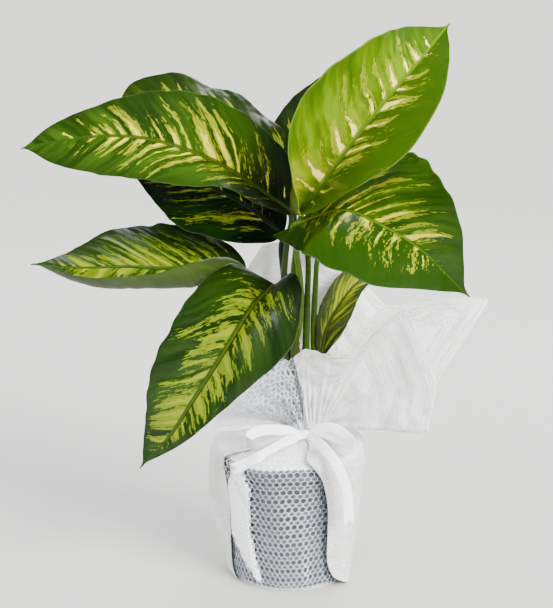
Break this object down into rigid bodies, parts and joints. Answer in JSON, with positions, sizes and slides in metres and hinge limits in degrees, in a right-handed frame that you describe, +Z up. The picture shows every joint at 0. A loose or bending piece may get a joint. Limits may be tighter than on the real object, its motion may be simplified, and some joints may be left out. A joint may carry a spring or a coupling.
{
  "type": "potted dieffenbachia",
  "caption": "Potted dumb cane with variegated oval leaves on leaning stalks, its nursery pot wrapped in net and a nonwoven sheet tied with a ribbon bow.",
  "frame": {"origin": "middle of the wrapped pot's underside, on the surface that it stands on", "axes": "+Z up along the pot, -Y towards the side where the bow and the opening of the outer sheet are, +X to the right of a viewer who faces the bow"},
  "size_m": [0.4461, 0.3027, 0.5598],
  "materials": {
    "pot_plastic": "grey injection-moulded plastic",
    "soil": "moist peat and bark potting mix",
    "cane": "green stem with pale leaf scars",
    "leaf_dark": "glossy dark green with few yellow flecks",
    "leaf_variegated": "glossy green with cream and yellow streaks along the side veins",
    "leaf_young": "glossy yellow-green with cream streaks",
    "net": "white honeycomb net of bonded fibre",
    "nonwoven": "white translucent nonwoven",
    "satin": "white single-face satin"
  },
  "bodies": {
    "root": {"nursery_pot": "pot_plastic", "potting_soil": "soil", "cane_main": "cane", "cane_middle": "cane", "cane_right": "cane", "leaf_upper_left": "leaf_variegated", "leaf_top_back": "leaf_dark", "leaf_left_shaded": "leaf_dark", "leaf_lower_left": "leaf_variegated", "leaf_front_drooping": "leaf_variegated", "leaf_upper_right": "leaf_young", "leaf_right_drooping": "leaf_variegated", "leaf_back_upright": "leaf_dark", "leaf_small_low": "leaf_variegated", "leaf_back_right": "leaf_dark", "net_sheet": "net", "nonwoven_sheet": "nonwoven", "ribbon_bow": "satin"}
  },
  "joints": []
}
